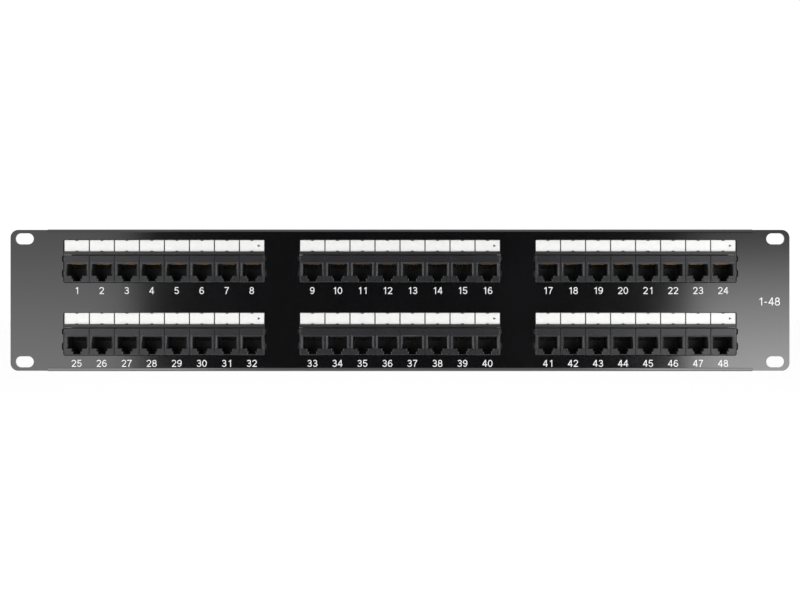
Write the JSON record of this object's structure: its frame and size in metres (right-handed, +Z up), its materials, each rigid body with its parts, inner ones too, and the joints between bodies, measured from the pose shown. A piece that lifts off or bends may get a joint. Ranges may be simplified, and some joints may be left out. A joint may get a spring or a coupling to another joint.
{
  "type": "patch panel",
  "caption": "Rack patch panel: a flanged steel face with slotted ears, ganged modular sockets in two rows, white label strips above them and punch-down blocks behind.",
  "frame": {"origin": "centre of the mounting plane, which is the rear face of the steel sheet, midway between the four rack slots", "axes": "+X along the panel to the right as seen from the front, +Z up, the sockets face -Y and the punch-down blocks +Y"},
  "size_m": [0.4826, 0.034, 0.0882],
  "materials": {
    "panel_paint": "black fine-texture paint, semi-gloss",
    "label_card": "white synthetic card, smooth",
    "tray_plastic": "black moulded plastic, satin",
    "housing_plastic": "black moulded plastic, satin",
    "comb_plastic": "black moulded plastic",
    "contact_gold": "gold-plated phosphor bronze wire",
    "board_laminate": "glass-epoxy laminate with green solder mask",
    "idc_plastic": "black moulded plastic, satin",
    "blade_metal": "tin-plated phosphor bronze"
  },
  "bodies": {
    "panel": {"front_panel": "panel_paint", "label_holder_1": "tray_plastic", "jack_housing_1": "housing_plastic", "contact_comb_1": "comb_plastic", "contact_wires_1": "contact_gold", "circuit_board_1": "board_laminate", "punch_down_block_1": "idc_plastic", "punch_down_blades_1": "blade_metal", "label_holder_2": "tray_plastic", "jack_housing_2": "housing_plastic", "contact_comb_2": "comb_plastic", "contact_wires_2": "contact_gold", "circuit_board_2": "board_laminate", "punch_down_block_2": "idc_plastic", "punch_down_blades_2": "blade_metal", "label_holder_3": "tray_plastic", "jack_housing_3": "housing_plastic", "contact_comb_3": "comb_plastic", "contact_wires_3": "contact_gold", "circuit_board_3": "board_laminate", "punch_down_block_3": "idc_plastic", "punch_down_blades_3": "blade_metal", "label_holder_4": "tray_plastic", "jack_housing_4": "housing_plastic", "contact_comb_4": "comb_plastic", "contact_wires_4": "contact_gold", "circuit_board_4": "board_laminate", "punch_down_block_4": "idc_plastic", "punch_down_blades_4": "blade_metal", "label_holder_5": "tray_plastic", "jack_housing_5": "housing_plastic", "contact_comb_5": "comb_plastic", "contact_wires_5": "contact_gold", "circuit_board_5": "board_laminate", "punch_down_block_5": "idc_plastic", "punch_down_blades_5": "blade_metal", "label_holder_6": "tray_plastic", "jack_housing_6": "housing_plastic", "contact_comb_6": "comb_plastic", "contact_wires_6": "contact_gold", "circuit_board_6": "board_laminate", "punch_down_block_6": "idc_plastic", "punch_down_blades_6": "blade_metal"},
    "label_1": {"label_strip_1": "label_card"},
    "label_2": {"label_strip_2": "label_card"},
    "label_3": {"label_strip_3": "label_card"},
    "label_4": {"label_strip_4": "label_card"},
    "label_5": {"label_strip_5": "label_card"},
    "label_6": {"label_strip_6": "label_card"}
  },
  "joints": [
    {"name": "label_1_release", "type": "slide", "parent": "panel", "child": "label_1", "axis": [0, -1, 0], "range_m": [0, 0.012]},
    {"name": "label_2_release", "type": "slide", "parent": "panel", "child": "label_2", "axis": [0, -1, 0], "range_m": [0, 0.012]},
    {"name": "label_3_release", "type": "slide", "parent": "panel", "child": "label_3", "axis": [0, -1, 0], "range_m": [0, 0.012]},
    {"name": "label_4_release", "type": "slide", "parent": "panel", "child": "label_4", "axis": [0, -1, 0], "range_m": [0, 0.012]},
    {"name": "label_5_release", "type": "slide", "parent": "panel", "child": "label_5", "axis": [0, -1, 0], "range_m": [0, 0.012]},
    {"name": "label_6_release", "type": "slide", "parent": "panel", "child": "label_6", "axis": [0, -1, 0], "range_m": [0, 0.012]}
  ]
}
